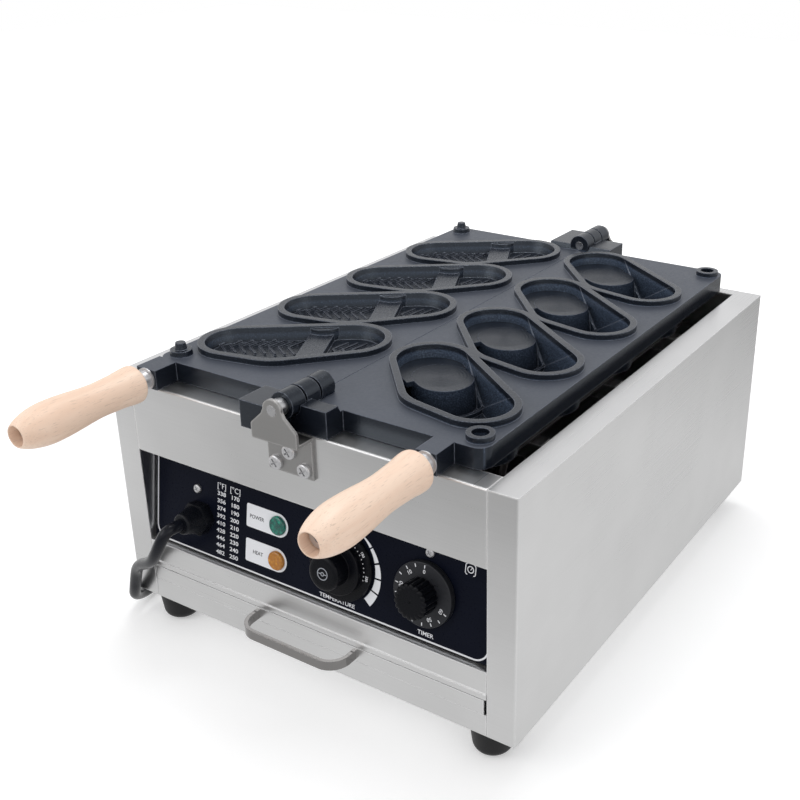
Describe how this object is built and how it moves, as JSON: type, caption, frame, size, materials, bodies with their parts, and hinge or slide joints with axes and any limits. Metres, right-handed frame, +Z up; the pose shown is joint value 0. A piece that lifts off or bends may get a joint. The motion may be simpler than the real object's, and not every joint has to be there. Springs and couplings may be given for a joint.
{
  "type": "shoe waffle maker",
  "caption": "Countertop waffle maker with hinged cast plates of shoe-shaped moulds, wooden handles, a sloping control panel, a drip tray and a mains cord on a steel case.",
  "frame": {"origin": "middle of the bounding box of everything but the mains cord, at the level of the feet's undersides", "axes": "+X to the right seen from the front, +Y to the back (the controls and handles face -Y), +Z up"},
  "size_m": [0.544, 0.609, 0.2534],
  "materials": {
    "stainless": "satin",
    "screw_steel": "satin",
    "cast_plate": "dark non-stick coating",
    "beech": "smooth, pale",
    "chrome": "polished",
    "black_overlay": "gloss, printed",
    "black_plastic": "semi-gloss",
    "green_lens": "clear coloured",
    "amber_lens": "clear coloured",
    "black_rubber": "matt",
    "cord_black": "smooth",
    "switch_body": "matt",
    "pale_insulator": "matt",
    "copper": "bare",
    "lead_red": "silicone sleeve"
  },
  "bodies": {
    "case": {"back_panel": "stainless", "bottom_pan": "stainless", "contactor": "switch_body", "control_panel": "stainless", "cord_coil": "cord_black", "electrics_shelf": "stainless", "foot_back_left": "black_rubber", "foot_back_right": "black_rubber", "foot_bolts": "screw_steel", "foot_front_left": "black_rubber", "foot_front_right": "black_rubber", "front_bracket_screws": "screw_steel", "front_fascia": "stainless", "front_hinge_bracket": "stainless", "front_hinge_pin": "screw_steel", "gland_body": "black_plastic", "gland_locknut": "black_plastic", "gland_nut": "black_plastic", "heat_lamp_body": "black_plastic", "heat_lamp_lens": "amber_lens", "heater_deck": "stainless", "heater_supports": "stainless", "internal_leads": "lead_red", "left_heating_element": "screw_steel", "left_side_panel": "stainless", "left_tray_runner": "stainless", "mains_cord": "cord_black", "mains_plug": "cord_black", "panel_overlay": "black_overlay", "panel_screws": "screw_steel", "panel_sill": "stainless", "plug_pins": "screw_steel", "power_lamp_body": "black_plastic", "power_lamp_lens": "green_lens", "rear_bracket_screws": "screw_steel", "rear_hinge_bracket": "stainless", "rear_hinge_pin": "screw_steel", "right_heating_element": "screw_steel", "right_side_panel": "stainless", "right_tray_runner": "stainless", "supply_lead": "cord_black", "terminal_block": "pale_insulator", "thermostat": "switch_body", "thermostat_bulb": "screw_steel", "thermostat_capillary": "copper", "timer": "switch_body"},
    "left_leaf": {"left_mould_plate": "cast_plate", "left_handle": "beech", "left_handle_bolt": "screw_steel", "left_handle_washer": "screw_steel"},
    "right_leaf": {"right_mould_plate": "cast_plate", "right_handle": "beech", "right_handle_bolt": "screw_steel", "right_handle_washer": "screw_steel"},
    "tray": {"drip_tray": "stainless", "tray_handle": "chrome"},
    "temperature_control": {"temperature_knob": "black_plastic", "thermostat_shaft": "screw_steel"},
    "timer_control": {"timer_knob": "black_plastic", "timer_shaft": "screw_steel"}
  },
  "joints": [
    {"name": "left_plate_hinge", "type": "hinge", "parent": "case", "child": "left_leaf", "pos_m": [0, 0, 0.24345], "axis": [0, 1, 0], "range_deg": [0, 180]},
    {"name": "right_plate_hinge", "type": "hinge", "parent": "case", "child": "right_leaf", "pos_m": [0, 0, 0.24345], "axis": [0, -1, 0], "range_deg": [0, 180]},
    {"name": "drip_tray_slide", "type": "slide", "parent": "case", "child": "tray", "axis": [0, -1, 0], "range_m": [0, 0.36]},
    {"name": "temperature_knob_turn", "type": "hinge", "parent": "case", "child": "temperature_control", "pos_m": [0.0313, -0.17424, 0.11655], "axis": [0, -0.9877, 0.1564], "range_deg": [-300, 0]},
    {"name": "timer_knob_turn", "type": "hinge", "parent": "case", "child": "timer_control", "pos_m": [0.1054, -0.17397, 0.11823], "axis": [0, -0.9877, 0.1564], "range_deg": [-300, 0]}
  ]
}
